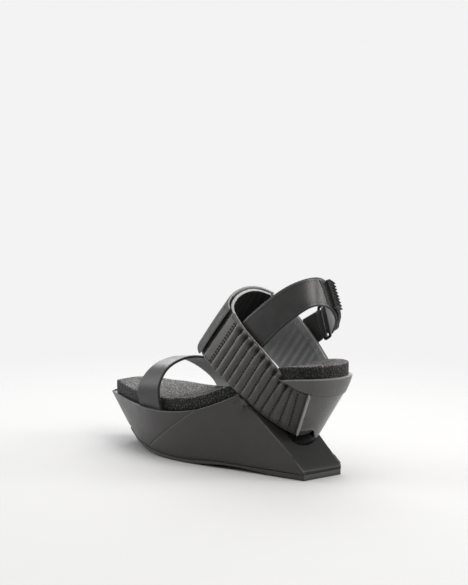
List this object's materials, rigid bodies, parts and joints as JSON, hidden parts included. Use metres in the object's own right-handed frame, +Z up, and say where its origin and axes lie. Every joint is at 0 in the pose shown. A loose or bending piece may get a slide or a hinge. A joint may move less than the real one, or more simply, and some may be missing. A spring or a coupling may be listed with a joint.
{
  "type": "wedge sandal",
  "caption": "Left wedge sandal with a padded footbed, toe strap, quilted instep bands, a fold-over instep flap and an ankle strap that closes through a ring.",
  "frame": {"origin": "centre of the footprint, on the floor", "axes": "+X to the toe, +Y to the outer side of the foot, +Z up"},
  "size_m": [0.2564, 0.09, 0.1551],
  "materials": {
    "outsole_rubber": "matte",
    "wedge_leather": "satin",
    "wedge_front_leather": "satin",
    "cork_core": "matte",
    "heel_gloss": "gloss",
    "heel_leather": "satin",
    "seat_leather": "satin",
    "steel": "satin",
    "fibre_board": "matte",
    "foam": "matte",
    "footbed_leather": "satin",
    "strap_leather": "satin",
    "quilt_leather": "satin",
    "lining_suede": "matte",
    "wadding": "matte",
    "loop_fabric": "matte",
    "hook_tape": "matte",
    "ring_metal": "satin"
  },
  "bodies": {
    "shoe": {"outsole": "outsole_rubber", "wedge_core": "cork_core", "wedge_front_panel": "wedge_front_leather", "wedge_outer_panel": "wedge_leather", "wedge_inner_panel": "wedge_leather", "wedge_slope_panel": "wedge_leather", "heel_core": "heel_gloss", "heel_cup": "seat_leather", "heel_cover": "heel_leather", "heel_edge_strips": "heel_leather", "heel_screw": "steel", "heel_nails": "steel", "heel_base_screws": "steel", "insole_board": "fibre_board", "shank": "steel", "shank_rivets": "steel", "footbed_foam": "foam", "footbed_cover": "footbed_leather", "toe_strap": "strap_leather", "toe_strap_lining": "lining_suede", "outer_band_quilt": "quilt_leather", "outer_band_padding": "wadding", "outer_band_lining": "lining_suede", "outer_band_end_panel": "lining_suede", "instep_loop_patch": "loop_fabric", "inner_band_quilt": "quilt_leather", "inner_band_padding": "wadding", "inner_band_lining": "lining_suede"},
    "instep_flap": {"instep_flap": "strap_leather", "instep_hook_patch": "hook_tape"},
    "ankle_strap": {"ankle_strap": "strap_leather", "ankle_strap_lining": "lining_suede", "ankle_loop_patch": "loop_fabric", "ring_holder": "strap_leather", "strap_ring": "ring_metal"},
    "closure_tab": {"closure_tab": "strap_leather", "closure_hook_patch": "hook_tape"}
  },
  "joints": [
    {"name": "instep_flap_lift", "type": "hinge", "parent": "shoe", "child": "instep_flap", "pos_m": [-0.02487, -0.02283, 0.11832], "axis": [0.5878, 0, -0.809], "range_deg": [0, 100]},
    {"name": "ankle_strap_swing", "type": "hinge", "parent": "shoe", "child": "ankle_strap", "pos_m": [-0.06176, 0.00567, 0.111], "axis": [0, 1, 0], "range_deg": [-18, 10]},
    {"name": "closure_tab_peel", "type": "hinge", "parent": "ankle_strap", "child": "closure_tab", "pos_m": [-0.08576, -0.03093, 0.1176], "axis": [0.2747, 0, 0.9615], "range_deg": [0, 140]}
  ]
}
